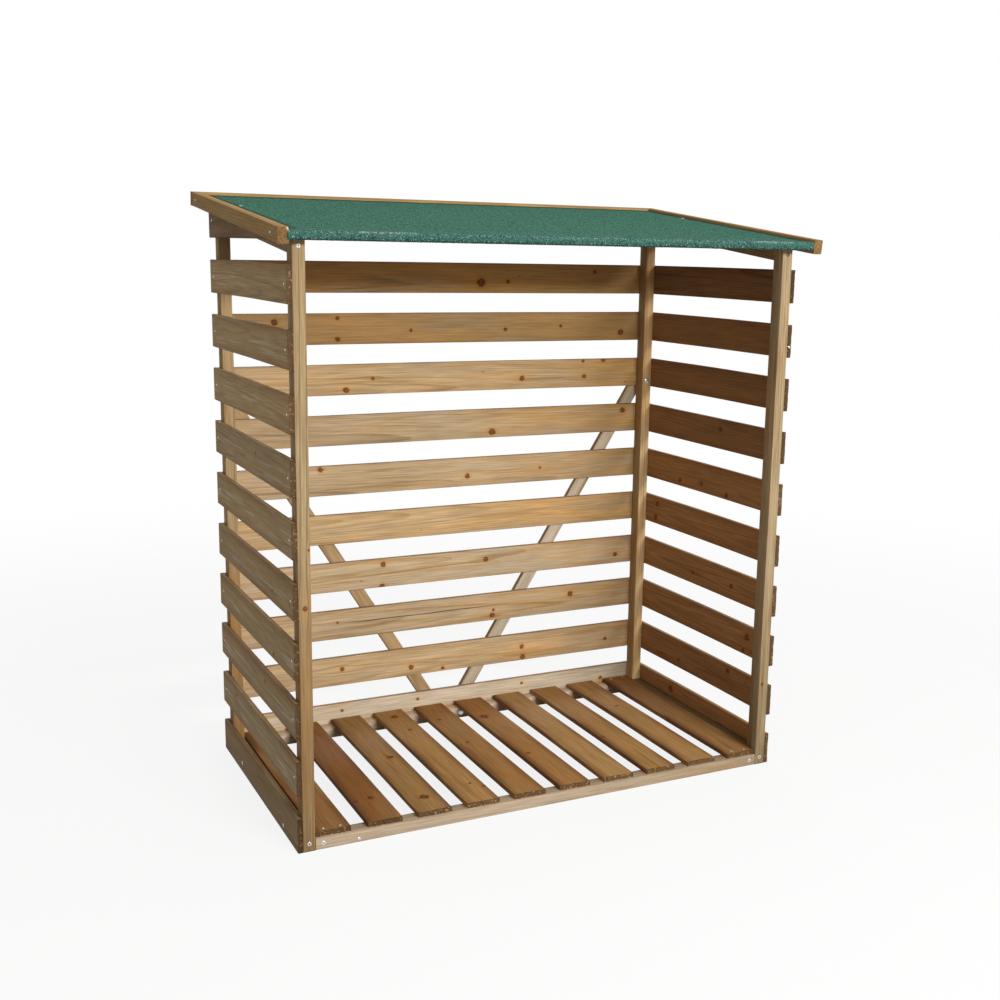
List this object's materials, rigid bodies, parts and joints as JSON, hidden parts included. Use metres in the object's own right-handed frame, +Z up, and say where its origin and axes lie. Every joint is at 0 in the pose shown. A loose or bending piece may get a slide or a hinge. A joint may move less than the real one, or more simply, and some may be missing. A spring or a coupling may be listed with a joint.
{
  "type": "log store",
  "caption": "Open-fronted slatted timber log store with a slatted floor, a braced back and a green felt mono-pitch roof edged by barge boards.",
  "frame": {"origin": "on the ground, under the middle of the roof's plan", "axes": "+Z up, +X to the right across the open front, +Y from the open front to the back"},
  "size_m": [1.604, 0.95, 1.734],
  "materials": {
    "frame_timber": "planed softwood, pressure treated, unpainted",
    "side_slat_timber": "weathered softwood, grey brown outside",
    "back_slat_timber": "treated softwood with knots",
    "floor_rail_timber": "pale planed softwood",
    "floor_board_timber": "warm brown softwood with dark edges",
    "deck_timber": "planed softwood boards",
    "barge_timber": "treated softwood, sharp edged",
    "mineral_felt": "green mineral chip on bitumen sheet, matt",
    "zinc_fixings": "zinc plated"
  },
  "bodies": {
    "root": {"front_left_post": "frame_timber", "front_right_post": "frame_timber", "back_left_post": "frame_timber", "back_right_post": "frame_timber", "left_top_rail": "frame_timber", "left_bottom_rail": "frame_timber", "right_top_rail": "frame_timber", "right_bottom_rail": "frame_timber", "left_side_slats": "side_slat_timber", "left_gable_slat": "side_slat_timber", "right_side_slats": "side_slat_timber", "right_gable_slat": "side_slat_timber", "back_slat_1": "back_slat_timber", "back_slat_2": "back_slat_timber", "back_slat_3": "back_slat_timber", "back_slat_4": "back_slat_timber", "back_slat_5": "back_slat_timber", "back_slat_6": "back_slat_timber", "back_slat_7": "back_slat_timber", "back_slat_8": "back_slat_timber", "back_slat_9": "back_slat_timber", "back_slat_10": "back_slat_timber", "back_slat_11": "back_slat_timber", "left_brace": "back_slat_timber", "right_brace": "back_slat_timber", "floor_front_rail": "floor_rail_timber", "floor_back_rail": "floor_rail_timber", "floor_left_bearer": "floor_rail_timber", "floor_right_bearer": "floor_rail_timber", "floor_board_1": "floor_board_timber", "floor_board_2": "floor_board_timber", "floor_board_3": "floor_board_timber", "floor_board_4": "floor_board_timber", "floor_board_5": "floor_board_timber", "floor_board_6": "floor_board_timber", "floor_board_7": "floor_board_timber", "floor_board_8": "floor_board_timber", "floor_board_9": "floor_board_timber", "floor_board_10": "floor_board_timber", "roof_deck": "deck_timber", "roof_felt": "mineral_felt", "left_barge_board": "barge_timber", "right_barge_board": "barge_timber", "back_fascia": "barge_timber"}
  },
  "joints": []
}
